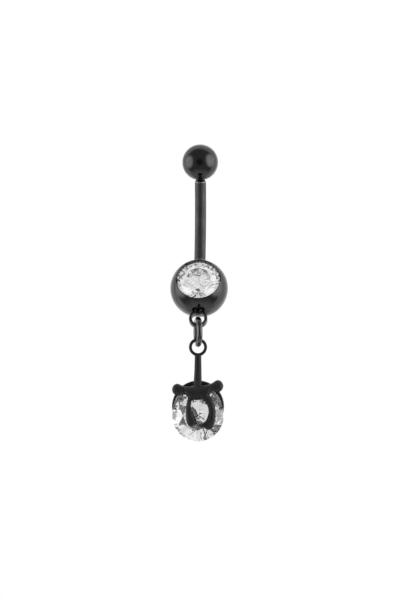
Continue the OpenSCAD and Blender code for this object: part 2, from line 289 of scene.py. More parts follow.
class SettingSizes(PropertyGroup):
    stone_d: length("Stone", "Diameter of the hanging stone", 7.2)
    stem_length: length("Stem length", "Height of the eyelet's centre over the stone's", 9.55)
    stem_w: length("Stem width", "Width of the stem below the eyelet", 0.92)
    stem_root_w: length("Stem root", "Width of the stem at the crossbar", 1.16)
    stem_depth: share("Stem depth", "Depth of the stem, of its width", 0.9)
    stem_foot: share("Stem foot", "Reach of the stem's foot to the front, of the stone's radius", 0.34)
    collar_d: length("Collar", "Outer diameter of the collar behind the stone", 7.24)
    collar_rise: length("Collar rise", "Height of the collar's centre over the stone's", 1.25)
    collar_front: length("Collar front", "Reach of the collar in front of the girdle", 0.64)
    collar_back: length("Collar back", "Reach of the collar behind the girdle", 0.96)
    collar_edge: length("Collar's edge", "Rounding of the collar's edges", 0.12)
    lip_d: length("Lip", "Diameter of the bare metal on the collar's front", 6.9)
    lip_rise: length("Lip rise", "Height of the lip's centre over the stone's", 0.8)
    crossbar_rise: share("Crossbar rise", "Height of the crossbar, of the stone's radius", 1.07, 2)
    crossbar_tilt: angle("Crossbar tilt", "Angle that the crossbar rises to the right", 5.2)
    set_back: length("Set back", "Distance of the stone's girdle behind the eyelet", 0.08)


class CutSizes(PropertyGroup):
    table: share("Table", "Width of the table, of the stone's", 0.57)
    crown: angle("Crown", "Slope of the main facets above the girdle", 34.5)
    pavilion: angle("Pavilion", "Slope of the main facets below the girdle", 40.75)
    girdle: share("Girdle", "Thickness of the girdle, of the stone's width", 0.03)
    star: share("Star", "Length of the star facets, from the table towards the girdle", 0.5)


class Clearances(PropertyGroup):
    post: length("Post", "Gap between a post and its bore, all round", 0.03)
    bore_end: length("Bore end", "Gap between the end of a post and its bore", 0.18)
    seat: length("Seat", "Gap between the bar's end face and a ball", 0.03)
    stone: length("Stone", "Gap between a stone and the metal round it", 0.05)


class Finishes(PropertyGroup):
    coat: colour("Coating", "Black coating of the balls", (0.075, 0.075, 0.078))
    # The bar's and the jump ring's coatings are the balls' black coating, painted lighter to stand in for
    # the brighter light that they catch.
    bar: colour("Bar's coating", "Black coating of the bar, a little lighter", (0.1, 0.1, 0.103))
    wire: colour("Wire's coating", "Black coating of the jump ring, lighter still", (0.13, 0.13, 0.134))
    # Painted highlight: a light grey line laid along the bar's bevel edges, standing in for the glint on
    # them.
    edge_highlight: colour("Worn edge", "Coating rubbed thin on the bar's sharp edges", (0.42, 0.42, 0.43))
    cast: colour("Cast metal", "Black coating of the claw setting", (0.009, 0.009, 0.0095))
    seat: colour("Stone's seat", "Bare metal round the hanging stone", (0.86, 0.86, 0.86))
    glass: colour("Stone", "Colour of the stones", (0.99, 0.99, 0.99))
    grain: length("Grain", "Size of the finest marks in the coating", 0.12)
    gloss: share("Gloss", "Roughness of the polished coating", 0.12)
    brushed: share("Brushed", "Roughness of the bar's coating", 0.5)
    satin: share("Satin", "Roughness of the cast setting", 0.42)
    bare: share("Bare", "Roughness of the stone's seat over that of the cast setting", 0.3)
    shine: share("Shine", "Level of reflection of the cast setting", 0.28)
    polish: share("Polish", "Roughness of the stones where they are least sharp", 0.015)
    back: share("Back", "Roughness of the stones' back facets, from inside", 0.035)
    bend: number("Light bend", "Index of the stones", 2.3)


class MeshDetail(PropertyGroup):
    sides: count("Sides", "Points round a turned piece", 144, 24)
    wire_sides: count("Wire sides", "Points round a wire", 40, 12)
    limb_sides: count("Limb sides", "Points round the bar and round the limbs of the setting", 80, 12)
    step: length("Step", "Distance between points along a profile", 0.12)
    voxel: length("Voxel", "Size of the cells that the setting is cast in", 0.05)
    smoothing: count("Smoothing", "Times that the casting is smoothed", 4, 0)
    softening: share("Softening", "Strength of each smoothing", 0.5)


class StageSizes(PropertyGroup):
    scale: number("Pixels to a millimetre", "Pixels of the photograph to a millimetre, at the origin", 7.03)
    azimuth: angle("Azimuth", "Angle of the camera to the right of the front", 2.83)
    height: length("Camera height", "Height of the camera", -11.045, least=-1000)
    distance: length("Distance", "Distance of the camera", 400)
    floor_drop: length("Floor", "Depth of the floor below the origin", 110)
    floor_r: length("Floor radius", "Radius of the round floor", 500)
    paper: colour("Paper", "Colour of the floor", (0.9, 0.9, 0.9))
    fibre: length("Fibre", "Size of the marks in the paper", 4)
    light_height: length("Light height", "Height of the overhead light", 900)
    light_size: length("Light size", "Side of the overhead light", 1600)
    light_power: number("Light power", "Watts of the overhead light", 30)
    bounces: count("Bounces", "Times that light may turn in the stones", 20, 1)


class NavelRing(PropertyGroup):
    bar: PointerProperty(type=BarSizes)
    balls: PointerProperty(type=BallSizes)
    links: PointerProperty(type=LinkSizes)
    setting: PointerProperty(type=SettingSizes)
    cut: PointerProperty(type=CutSizes)
    gaps: PointerProperty(type=Clearances)
    finish: PointerProperty(type=Finishes)
    detail: PointerProperty(type=MeshDetail)
    stage: PointerProperty(type=StageSizes)


# Places, in millimetres where nothing else is said


def in_mm(metres):
    """Lengths or a point that are given in metres, in millimetres."""
    return np.asarray(metres) / MM


def arc_point(bar, turn):
    """Point on the bar's arc where its radius stands at this turn over the horizontal."""
    bend_r = bar.length / MM / bar.bend
    out = np.cos(turn) - math.cos(bar.lean)
    up = np.sin(turn) + math.sin(bar.lean)
    return bend_r * np.stack([np.zeros_like(out), out, up], axis=-1)


def turned_about_x(place, turn):
    """Matrix of a place whose Z is turned from upwards to the front by this angle."""
    return Matrix.Translation(Vector(place)) @ Matrix.Rotation(turn, 4, "X")


def face_forward(place=(0, 0, 0)):
    """Matrix of a place whose Z comes out to the front."""
    return turned_about_x(place, math.pi / 2)


def shoulder(bar, end):
    """Point and direction, in metres, of the bar's middle line where the bevel of one end starts."""
    turn = end * (bar.length / 2 - bar.bevel) * bar.bend / bar.length - bar.lean
    return Vector(arc_point(bar, turn)) * MM, Vector((0, -math.sin(turn), math.cos(turn)))


def ball_seat(ball_d, seat_d):
    """Height of a ball's centre over the flat that it seats on."""
    return math.sqrt((ball_d / 2) ** 2 - (seat_d / 2) ** 2) / MM


def ball_place(ring, end, ball_d):
    """Matrix of a ball on one end of the bar, with Z along the bar and upwards."""
    turn = end * ring.bar.bend / 2 - ring.bar.lean
    reach = ring.gaps.seat / MM + ball_seat(ball_d, ring.balls.seat_d)
    way = end * np.array([0, -math.sin(turn), math.cos(turn)])
    return turned_about_x(arc_point(ring.bar, turn) + reach * way, turn)


def gem_ball_place(ring):
    """Matrix of the lower ball. Its -Y comes out of the stone's face."""
    return ball_place(ring, LOW, ring.balls.gem_d)


def rim_reach(ring):
    """Distance of the lower ball's rim in front of the ball's centre."""
    return math.sqrt((ring.balls.gem_d / 2) ** 2 - (ring.balls.rim_d / 2) ** 2) / MM


def girdle_reach(ring):
    """Distance of the middle of its stone's girdle in front of the lower ball's centre."""
    return rim_reach(ring) - (ring.balls.stone_sunk + ring.cut.girdle * ring.balls.stone_d / 2) / MM


def ball_stone_place(ring):
    """Matrix of the lower ball's stone: the middle of its girdle, with Z out of its face."""
    return gem_ball_place(ring) @ face_forward() @ Matrix.Translation((0, 0, girdle_reach(ring)))


def ring_centre(ring):
    """Centre of the jump ring, its middle radius above the pivot."""
    return PIVOT + [0, 0, (ring.links.ring_od - ring.links.ring_wire) / 2 / MM]


def eyelet_centre(ring):
    """Centre of the eyelet, read from the setting's highest point."""
    top = in_mm(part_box("claw_setting")[1])[2]
    return np.array([PIVOT[0], PIVOT[1], top - ring.links.eyelet_od / 2 / MM])


def drop_stone_centre(ring):
    """Centre of the hanging stone's girdle."""
    return eyelet_centre(ring) + in_mm([0, ring.setting.set_back, -ring.setting.stem_length])


def drop_stone_radius(ring):
    """Radius of the hanging stone."""
    return ring.setting.stone_d / 2 / MM


# Shapes


def softened(corners, radius):
    """Profile whose inner corners are rounded: each becomes a parabola that leaves its two edges at
    the radius from the corner. Both ends stay."""
    corners = np.asarray(corners, float)
    inner = corners[1:-1]
    back = corners[:-2] - inner
    ahead = corners[2:] - inner
    back /= np.linalg.norm(back, axis=1, keepdims=True)
    ahead /= np.linalg.norm(ahead, axis=1, keepdims=True)
    t = np.linspace(0, 1, CORNER_POINTS)[None, :, None]
    start = (inner + radius * back)[:, None]
    end = (inner + radius * ahead)[:, None]
    curve = (1 - t) ** 2 * start + 2 * t * (1 - t) * inner[:, None] + t**2 * end
    return np.concatenate([corners[:1], curve.reshape(-1, 2), corners[-1:]])


def denser(profile, step):
    """The same profile with points added along its edges, so that none lie further apart than the step."""
    reach = np.concatenate([[0], np.cumsum(np.linalg.norm(np.diff(profile, axis=0), axis=1))])
    extra = np.linspace(0, reach[-1], 2 + int(reach[-1] / step))
    along = np.unique(np.round(np.concatenate([reach, extra]) / SAME_POINT)) * SAME_POINT
    return np.stack([np.interp(along, reach, profile[:, k]) for k in range(2)], axis=-1)


def turns(sides):
    """Evenly spaced angles of a full turn."""
    return np.arange(sides) * (2 * math.pi / sides)


def turned(profile, sides):
    """Rows of a turned shape: the point (r, z) of the profile goes round Z as (r cos a, r sin a, z)."""
    a = turns(sides)
    r, z = np.asarray(profile, float).T
    return np.stack([np.outer(r, np.cos(a)), np.outer(r, np.sin(a)), np.outer(z, np.ones(sides))], axis=-1)


def hoop(section, mid_r, sides):
    """Rows of a hoop round Z: a closed section of points (out, up) stands at each turn of the circle."""
    a = turns(sides)[:, None]
    out, up = section.T
    r = mid_r + out[None]
    return np.stack([r * np.cos(a), r * np.sin(a), up[None] + np.zeros_like(a)], axis=-1)


def wire_hoop(outer_d, wire_d, wire_sides, sides):
    """Rows of a hoop of round wire: its section is a circle."""
    a = turns(wire_sides)
    circle = wire_d / 2 / MM * np.stack([np.cos(a), np.sin(a)], axis=-1)
    return hoop(circle, (outer_d - wire_d) / 2 / MM, sides)


def flat_section(wall, thick, edge, sides):
    """Rectangle with a quarter circle at each corner, as a section."""
    a = turns(sides) + math.pi / sides
    out = np.cos(a) * edge + np.sign(np.cos(a)) * (wall / 2 - edge)
    up = np.sin(a) * edge + np.sign(np.sin(a)) * (thick / 2 - edge)
    return np.stack([out, up], axis=-1)


def smooth_rows(rows):
    """Catmull-Rom curve through the rows of a table, with new rows between each two."""
    rows = np.asarray(rows, float)
    padded = np.concatenate([rows[:1], rows, rows[-1:]])
    a, b, c, d = (padded[k : len(rows) - 1 + k][:, None] for k in range(4))
    t = (np.arange(ROWS_BETWEEN) / ROWS_BETWEEN)[None, :, None]
    curve = b + ((c - a) * t + (2 * a - 5 * b + 4 * c - d) * t**2 + (3 * b - a - 3 * c + d) * t**3) / 2
    return np.concatenate([curve.reshape(-1, rows.shape[1]), rows[-1:]])


def ellipse_rows(low_u, high_u, low_v, high_v, along, sides):
    """Rows of a limb, as (u, v, along): at each place along it, an ellipse fills the box between the low
    and high edges."""
    a = turns(sides)[None]
    u = (low_u + high_u)[:, None] / 2 + (high_u - low_u)[:, None] / 2 * np.cos(a)
    v = (low_v + high_v)[:, None] / 2 + (high_v - low_v)[:, None] / 2 * np.sin(a)
    return np.stack([u, v, along[:, None] + np.zeros_like(u)], axis=-1)


def moved(rows, matrix):
    """Rows of points taken through a matrix."""
    m = np.array(matrix)
    return rows @ m[:3, :3].T + m[:3, 3]


def skin(rows, poles=True):
    """Closed mesh over rows of points. The points of a row go round. With poles, a point in the middle
    of the first row and one of the last row close the ends, and without them the rows go round too."""
    levels, sides = rows.shape[:2]
    around = np.arange(sides)
    ahead = (around + 1) % sides
    this = np.arange(levels - 1 if poles else levels)[:, None]
    following = (this + 1) % levels
    quads = np.stack(
        [this * sides + around, this * sides + ahead, following * sides + ahead, following * sides + around],
        axis=-1,
    )
    points = rows.reshape(-1, 3)
    faces = quads.reshape(-1, 4).tolist()
    if poles:
        points = np.concatenate([points, rows[0].mean(0)[None], rows[-1].mean(0)[None]])
        first, last = levels * sides, levels * sides + 1
        start = (levels - 1) * sides
        faces += np.stack([ahead, around, np.full(sides, first)], axis=-1).tolist()
        faces += np.stack([start + around, start + ahead, np.full(sides, last)], axis=-1).tolist()
    mesh = bpy.data.meshes.new("skin")
    mesh.from_pydata(points.tolist(), [], faces)
    return tidied(mesh)


def tidied(mesh):
    """The mesh with doubled points merged and its faces turned outwards."""
    shape = bmesh.new()
    shape.from_mesh(mesh)
    bmesh.ops.remove_doubles(shape, verts=shape.verts, dist=SAME_POINT)
    bmesh.ops.recalc_face_normals(shape, faces=shape.faces)
    shape.to_mesh(mesh)
    shape.free()
    return mesh


def in_scene(name, data):
    """New object in the scene, at the origin."""
    thing = bpy.data.objects.new(name, data)
    bpy.context.scene.collection.objects.link(thing)
    return thing


def worked(mesh, *steps):
    """The mesh after modifiers. Each step is a modifier's type with its settings."""
    held = in_scene("held", mesh)
    for kind, settings in steps:
        modifier = held.modifiers.new(kind.lower(), kind)
        for key, value in settings.items():
            setattr(modifier, key, value)
    result = bpy.data.meshes.new_from_object(held.evaluated_get(bpy.context.evaluated_depsgraph_get()))
    bpy.data.objects.remove(held)
    return result


def combined(mesh, operation, other):
    """The mesh joined with another, or cut by it."""
    tool = in_scene("tool", other)
    result = worked(mesh, ("BOOLEAN", {"operation": operation, "object": tool, "solver": "EXACT"}))
    bpy.data.objects.remove(tool)
    return result


def put_in_place(name, mesh, body, node, material):
    """The finished piece: its mesh in metres, smooth but for its sharp edges, riding on its body."""
    mesh.name = name
    mesh.transform(Matrix.Scale(MM, 4))
    mesh.materials.clear()
    mesh.materials.append(material)
    mesh.shade_smooth()
    mesh.set_sharp_from_angle(angle=SHARP)
    piece = in_scene(name, mesh)
    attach(piece, body)
    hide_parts(node)


# Materials


def plug(tree, node, inputs):
    """Sets inputs of a node. Each is a plain value, or a socket that is linked to it."""
    for key, value in inputs.items():
        if isinstance(value, bpy.types.NodeSocket):
            tree.links.new(value, node.inputs[key])
        else:
            node.inputs[key].default_value = value


def put(tree, kind, inputs=None, **settings):
    """New node with its settings and inputs."""
    node = tree.nodes.new(kind)
    for key, value in settings.items():
        setattr(node, key, value)
    plug(tree, node, inputs or {})
    return node


def maths(tree, operation, *values):
    """Result of one Math node."""
    return put(tree, "ShaderNodeMath", dict(enumerate(values)), operation=operation).outputs["Value"]


def vector_maths(tree, operation, *values):
    """Result of one Vector Math node: a plain value for a product or a length, else a vector."""
    result = "Value" if operation in ("DOT_PRODUCT", "LENGTH") else "Vector"
    node = put(tree, "ShaderNodeVectorMath", dict(enumerate(values)), operation=operation)
    return node.outputs[result]


def spread(tree, value, start, end, low=0.0, high=1.0, curve="LINEAR"):
    """The value taken from the span between start and end to that between low and high, and held there."""
    inputs = {"Value": value, "From Min": start, "From Max": end, "To Min": low, "To Max": high}
    return put(tree, "ShaderNodeMapRange", inputs, interpolation_type=curve).outputs["Result"]


def mixed(tree, factor, first, second, kind="RGBA"):
    """The first value or colour where the factor is 0, and the second where it is 1."""
    inputs = {"Factor": factor, "A": first, "B": second}
    return put(tree, "ShaderNodeMix", inputs, data_type=kind).outputs["Result"]


def rgba(channels):
    """Colour as a socket takes it."""
    return (*channels, 1)


def varied(tree, place, size, low, high, octaves=PLAIN_OCTAVES):
    """Value that drifts between low and high over marks of this size."""
    noise = put(tree, "ShaderNodeTexNoise", {"Vector": place, "Scale": 1 / size, "Detail": octaves})
    return spread(tree, noise.outputs["Fac"], *NOISE_SPAN, low, high)


def drifting_shade(tree, place, size, plain, shares):
    """Colour that drifts between two shares of the plain one over marks of this size."""
    dark, light = (rgba(part * np.array(plain)) for part in shares)
    return mixed(tree, varied(tree, place, size, 0, 1), dark, light)


def drifting_roughness(tree, place, size, plain, shares):
    """Roughness that drifts between two shares of the plain one over marks of this size."""
    return varied(tree, place, size, *(part * plain for part in shares))


def bumped(tree, height, strength, depth, base=None):
    """Normal of a surface with a relief, whose depth is in millimetres, over its base's."""
    inputs = {"Height": height, "Strength": strength, "Distance": depth * MM}
    if base is not None:
        inputs["Normal"] = base
    return put(tree, "ShaderNodeBump", inputs).outputs["Normal"]


def new_material(name):
    """Material with an empty tree, its Principled shader and the Object coordinates."""
    material = bpy.data.materials.new(name)
    material.use_nodes = True
    tree = material.node_tree
    tree.nodes.clear()
    shader = put(tree, "ShaderNodeBsdfPrincipled")
    put(tree, "ShaderNodeOutputMaterial", {"Surface": shader.outputs["BSDF"]})
    place = put(tree, "ShaderNodeTexCoord").outputs["Object"]
    return material, tree, shader, place


def along_axis(tree, place, point, way):
    """Distance of the surface ahead of a point, along a direction."""
    return vector_maths(tree, "DOT_PRODUCT", vector_maths(tree, "SUBTRACT", place, point), way)


def from_axis(tree, place, centre):
    """Distance of the surface from the line that runs from front to back through a point."""
    flat = vector_maths(tree, "MULTIPLY", vector_maths(tree, "SUBTRACT", place, centre), (1, 0, 1))
    return vector_maths(tree, "LENGTH", flat)


def painted_highlight_line(tree, place, point, way, width):
    """Mask of a painted highlight line: 1 on the plane through a point, square to a direction, and 0 past
    the width.
    """
    off = maths(tree, "ABSOLUTE", along_axis(tree, place, point, way))
    return spread(tree, off, HIGHLIGHT_CORE * width, width, 1.0, 0.0)


def black_coat(finish, name, coat, stretch, rough, edges=()):
    """Black coating: its shade and gloss drift a little, with fine marks that the stretch draws out
    along one direction. Along the edges a lighter line is painted on as a highlight."""
    material, tree, shader, place = new_material(name)
    marks = put(tree, "ShaderNodeMapping", {"Vector": place, "Scale": stretch}).outputs["Vector"]
    shade = drifting_shade(tree, place, COAT_CLOUDS * finish.grain, coat, COAT_SHADES)
    # Painted highlight: a lighter line along each edge.
    for point, way in edges:
        shade = mixed(tree, painted_highlight_line(tree, place, point, way, finish.grain), shade, rgba(finish.edge_highlight))
    gloss = drifting_roughness(tree, marks, COAT_STREAKS * finish.grain, rough, COAT_GLOSS)
    fine = varied(tree, marks, finish.grain, 0, 1, FINE_OCTAVES)
    relief = bumped(tree, fine, *COAT_RELIEF)
    plug(tree, shader, {"Base Color": shade, "Metallic": 1, "Roughness": gloss, "Normal": relief})
    return material


def stone_seat(tree, place, ring):
    """Mask of the bare metal round the hanging stone. It takes in the wall of the stone's cup, the lip
    above it, and what lies close over the crown: the height of the star facets' tips at each radius,
    and no higher than the table."""
    setting, cut, gap = ring.setting, ring.cut, ring.gaps.stone
    radius = setting.stone_d / 2
    girdle = cut.girdle * radius
    centre = Vector(drop_stone_centre(ring)) * MM
    ahead = along_axis(tree, place, centre, (0, -1, 0))
    away = from_axis(tree, place, centre)
    lip_away = from_axis(tree, place, centre + Vector((0, 0, setting.lip_rise)))
    cup = maths(tree, "LESS_THAN", away, radius + SEAT_OUT * gap)
    lip = maths(tree, "LESS_THAN", lip_away, setting.lip_d / 2)
    collar = maths(tree, "LESS_THAN", ahead, setting.collar_front + gap)
    wall = maths(tree, "MULTIPLY", maths(tree, "MAXIMUM", cup, lip), collar)
    slope = math.tan(cut.crown)
    tips = maths(tree, "MULTIPLY_ADD", away, -math.cos(STAR_TURN) * slope, girdle + radius * slope)
    crown = maths(tree, "MINIMUM", tips, stone_depths(cut)[0] * radius)
    close = maths(tree, "LESS_THAN", maths(tree, "SUBTRACT", ahead, crown), SEAT_OVER * gap)
    over = maths(tree, "MULTIPLY", close, cup)
    before = maths(tree, "GREATER_THAN", ahead, -girdle)
    return maths(tree, "MULTIPLY", maths(tree, "MAXIMUM", wall, over), before)


def cast_coat(ring):
    """Satin black coating on a casting: a soft uneven skin with fine pits. The stone's seat is bare
    and bright."""
    finish = ring.finish
    material, tree, shader, place = new_material("satin_black_casting")
    seat = stone_seat(tree, place, ring)
    dark = drifting_shade(tree, place, CAST_CLOUDS * finish.grain, finish.cast, CAST_SHADES)
    satin = drifting_roughness(tree, place, CAST_PATCHES * finish.grain, finish.satin, CAST_GLOSS)
    waves = varied(tree, place, CAST_WAVES * finish.grain, 0, 1)
    pits = varied(tree, place, finish.grain, 0, 1, FINE_OCTAVES)
    plug(
        tree, shader,
        {
            "Base Color": mixed(tree, seat, dark, rgba(finish.seat)),
            "Metallic": seat,
            "Roughness": maths(tree, "MULTIPLY_ADD", seat, finish.bare, satin),
            "Normal": bumped(tree, pits, *PIT_RELIEF, base=bumped(tree, waves, *WAVE_RELIEF)),
            "Specular IOR Level": finish.shine,
        },
    )
    return material


def cut_stone(finish, name, girdle):
    """Cut stone: clear, with polish that is a trace less sharp in places. Light that is inside it is
    thrown back as at a mirror behind the girdle's front edge, which is the place given."""
    material, tree, shader, place = new_material(name)
    depth = along_axis(tree, place, girdle.to_translation() * MM, girdle.to_3x3() @ Vector((0, 0, 1)))
    behind = maths(tree, "LESS_THAN", depth, 0.0)
    inside = put(tree, "ShaderNodeNewGeometry").outputs["Backfacing"]
    mirror = maths(tree, "MULTIPLY", behind, inside)
    polish = varied(tree, place, POLISH_PATCHES * finish.grain, 0, finish.polish)
    plug(
        tree, shader,
        {
            "Base Color": rgba(finish.glass),
            "Metallic": mirror,
            "Roughness": maths(tree, "MULTIPLY_ADD", mirror, finish.back, polish),
            "IOR": finish.bend,
            "Transmission Weight": 1,
        },
    )
    return material


# Pieces


def bar_end_corners(bar, post_length):
    """Corners of one end of the bar, from its bevel out to the middle of its post's end."""
    half, bevel, post_r, bar_r = in_mm([bar.length / 2, bar.bevel, bar.post_d / 2, bar.diameter / 2])
    tip = half + post_length / MM
    return [(bar_r, half - bevel), (bar_r - bevel, half), (post_r, half), (post_r, tip), (0, tip)]


def bar_profile(bar):
    """Profile of the bar along its middle line, as (radius, distance from the middle). The low end is
    the mirror image of the top one, but for the length of its post."""
    low = np.array(bar_end_corners(bar, bar.low_post))[::-1] * [1, -1]
    return softened([*low, *bar_end_corners(bar, bar.top_post)], bar.edge / MM)


def bar_rows(ring):
    """Rows of the bar: a circle of the profile's radius stands square to the middle line, which is the
    arc between the end faces and runs on straight along the posts."""
    bar = ring.bar
    bend_r = bar.length / MM / bar.bend
    radius, along = denser(bar_profile(bar), ring.detail.step / MM).T
    on_arc = np.clip(along, -bar.length / 2 / MM, bar.length / 2 / MM)
    turn = on_arc / bend_r - bar.lean
    zero = np.zeros_like(turn)
    ahead = np.stack([zero, -np.sin(turn), np.cos(turn)], axis=-1)
    out = np.stack([zero, np.cos(turn), np.sin(turn)], axis=-1)
    middle = arc_point(bar, turn) + (along - on_arc)[:, None] * ahead
    a = turns(ring.detail.limb_sides)[None, :, None]
    side = np.array([1.0, 0, 0])
    return middle[:, None] + radius[:, None, None] * (np.cos(a) * side + np.sin(a) * out[:, None])


def hollow_ball_rows(ring, ball_d, start, end, hollow, edge):
    """Rows of a hollowed ball: the points (r cos a, r sin a) from one angle over its middle to another,
    and then the profile of its hollow with the corners rounded."""
    ball_r, step = ball_d / 2 / MM, ring.detail.step / MM
    a = np.linspace(start, end, 2 + int(ball_r * abs(end - start) / step))
    arc = ball_r * np.stack([np.cos(a), np.sin(a)], axis=-1)
    inside = softened([arc[-1], *hollow], edge / MM)
    return turned(np.concatenate([arc, denser(inside, step)[1:]]), ring.detail.sides)


def bore_radius(ring):
    """Radius of the bores that take the bar's posts."""
    return (ring.bar.post_d / 2 + ring.gaps.post) / MM


def top_ball_rows(ring):
    """Rows of the top ball: the arc from its pole to the seat, the seat, and the bore's wall and end."""
    balls, bore_r = ring.balls, bore_radius(ring)
    seat = ball_seat(balls.top_d, balls.seat_d)
    seat_turn = -math.atan2(seat, balls.seat_d / 2 / MM)
    bore_end = -seat + (ring.bar.top_post + ring.gaps.bore_end) / MM
    bore = [(bore_r, -seat), (bore_r, bore_end), (0, bore_end)]
    return hollow_ball_rows(ring, balls.top_d, math.pi / 2, seat_turn, bore, balls.top_edge)


def stone_depths(cut):
    """Heights of a stone's table and point over and under the middle of its girdle, and the radius and
    height of its star facets' tips, all for a radius of 1."""
    table_z = cut.girdle + (1 - cut.table) * math.tan(cut.crown)
    point_z = cut.girdle + math.tan(cut.pavilion)
    flat_r = cut.table * math.cos(STAR_TURN)
    tip_r = flat_r + cut.star * (1 - flat_r)
    tip_z = cut.girdle + (1 - tip_r * math.cos(STAR_TURN)) * math.tan(cut.crown)
    return table_z, point_z, tip_r, tip_z


def bowl_corners(ring, radius):
    """Corners of the room under a stone's girdle: below its point, and out beside its girdle."""
    gap = ring.gaps.stone / MM
    point_z = stone_depths(ring.cut)[1]
    return [(0, -radius * point_z - SLOPE_ROOM * gap), (radius + gap, -radius * ring.cut.girdle - gap)]


def cup_profile(ring, radius, height):
    """Profile of the cup that holds a stone's lower half, from its point up to a height over the girdle."""
    wall = radius + ring.gaps.stone / MM
    return np.array([*bowl_corners(ring, radius), (wall, height), (0, height)])


def room_profile(ring, radius):
    """Profile of the room that a whole stone takes, with a gap all round."""
    cut, gap = ring.cut, ring.gaps.stone / MM
    table_z, _, tip_r, tip_z = stone_depths(cut)
    return [
        *bowl_corners(ring, radius),
        (radius + gap, radius * cut.girdle + SLOPE_ROOM * gap),
        (radius * tip_r, radius * tip_z + SLOPE_ROOM * gap),
        (radius * cut.table, radius * table_z + gap),
        (0, radius * table_z + gap),
    ]


def gem_ball_rows(ring):
    """Rows of the lower ball about its face's axis: the ball, its flat rim and the stone's cup."""
    balls = ring.balls
    rim_z, girdle_z = rim_reach(ring), girdle_reach(ring)
    rim_turn = math.atan2(rim_z, balls.rim_d / 2 / MM)
    cup = cup_profile(ring, balls.stone_d / 2 / MM, rim_z - girdle_z)[2::-1] + [0, girdle_z]
    return hollow_ball_rows(ring, balls.gem_d, -math.pi / 2, rim_turn, cup, balls.rim_edge)


def gem_bore_rows(ring):
    """Rows of the cut into the lower ball: the post's bore, and a wider cut that leaves a flat seat."""
    balls, bore_r = ring.balls, bore_radius(ring)
    seat = ball_seat(balls.gem_d, balls.seat_d)
    bore_end = seat - (ring.bar.low_post + ring.gaps.bore_end) / MM
    wide_r, top = balls.seat_d / MM, balls.gem_d / 2 / MM + SPARE
    corners = [(0, bore_end), (bore_r, bore_end), (bore_r, seat), (wide_r, seat), (wide_r, top), (0, top)]
    return turned(softened(corners, balls.bore_edge / MM), ring.detail.wire_sides)


def loop_rows(ring):
    """Rows of the loop: a hoop of flat wire with rounded edges."""
    balls, detail = ring.balls, ring.detail
    wall, thick, edge, outer_r = in_mm(
        [balls.loop_wall, balls.loop_thick, balls.loop_edge, balls.loop_od / 2]
    )
    return hoop(flat_section(wall, thick, edge, detail.wire_sides), outer_r - wall / 2, detail.sides)


def gem_ball_mesh(ring):
    """The lower ball: the turned ball is bored from above, and the loop is joined below."""
    balls, place = ring.balls, gem_ball_place(ring)
    ball = skin(moved(gem_ball_rows(ring), place @ face_forward()))
    bored = combined(ball, "DIFFERENCE", skin(moved(gem_bore_rows(ring), place)))
    drop = (balls.gem_d / 2 + balls.loop_od / 2 - balls.loop_sunk) / MM
    loop = moved(loop_rows(ring), place @ face_forward((0, 0, -drop)))
    return combined(bored, "UNION", skin(loop, poles=False))


def jump_ring_rows(ring):
    """Rows of the jump ring: a hoop that stands upright, turned a little from the side plane."""
    links, detail = ring.links, ring.detail
    rows = wire_hoop(links.ring_od, links.ring_wire, detail.wire_sides, 2 * detail.sides)
    upright = Matrix.Rotation(links.ring_turn, 4, "Z") @ Matrix.Rotation(math.pi / 2, 4, "Y")
    return moved(rows, Matrix.Translation(Vector(ring_centre(ring))) @ upright)


def crossbar_mesh(ring):
    """Crossbar: ellipses stand upright along it, from one lobe's end to the other's."""
    setting, radius = ring.setting, drop_stone_radius(ring)
    half = smooth_rows(CROSSBAR_ROWS)
    rows = np.concatenate([half[:0:-1] * [-1, 1, 1, 1, 1], half]) * radius
    along, top, bottom, front, back = rows.T
    yzx = ellipse_rows(front, back, bottom, top, along, ring.detail.limb_sides)
    rise = Matrix.Translation((0, 0, setting.crossbar_rise * radius))
    place = rise @ Matrix.Rotation(-setting.crossbar_tilt, 4, "Y")
    return skin(moved(np.roll(yzx, 1, axis=-1), place))


def claw_mesh(ring, table):
    """Claw: ellipses lie level down the claw."""
    height, left, right, front, back = (smooth_rows(table) * drop_stone_radius(ring)).T
    return skin(ellipse_rows(left, right, front, back, height, ring.detail.limb_sides))


def stem_mesh(ring):
    """Stem: ellipses lie level down the stem, which widens and comes forward on its way."""
    setting, radius = ring.setting, drop_stone_radius(ring)
    down, widen, forward = smooth_rows(STEM_ROWS).T
    eyelet_r = (ring.links.eyelet_od - ring.links.eyelet_wire) / 2 / MM
    top_z, foot_z = setting.stem_length / MM - eyelet_r, setting.crossbar_rise * radius
    top_w, root_w, back = in_mm([setting.stem_w, setting.stem_root_w, setting.set_back])
    half_w = (top_w + (root_w - top_w) * widen) / 2
    half_deep = setting.stem_depth * half_w
    middle = -back + (back - setting.stem_foot * radius) * forward
    front, rear = middle - half_deep, middle + half_deep
    z = top_z + (foot_z - top_z) * down
    return skin(ellipse_rows(-half_w, half_w, front, rear, z, ring.detail.limb_sides))


def collar_mesh(ring):
    """Collar: a drum about the stone's axis, with its edges rounded, cut open by the stone's cup."""
    setting, sides = ring.setting, ring.detail.sides
    collar_r, rise, front, back = in_mm(
        [setting.collar_d / 2, setting.collar_rise, setting.collar_front, setting.collar_back]
    )
    drum = softened([(0, -back), (collar_r, -back), (collar_r, front), (0, front)], setting.collar_edge / MM)
    rows = turned(denser(drum, ring.detail.step / MM), sides)
    cup = turned(cup_profile(ring, drop_stone_radius(ring), 2 * front), sides)
    collar = skin(moved(rows, face_forward((0, 0, rise))))
    return combined(collar, "DIFFERENCE", skin(moved(cup, face_forward())))


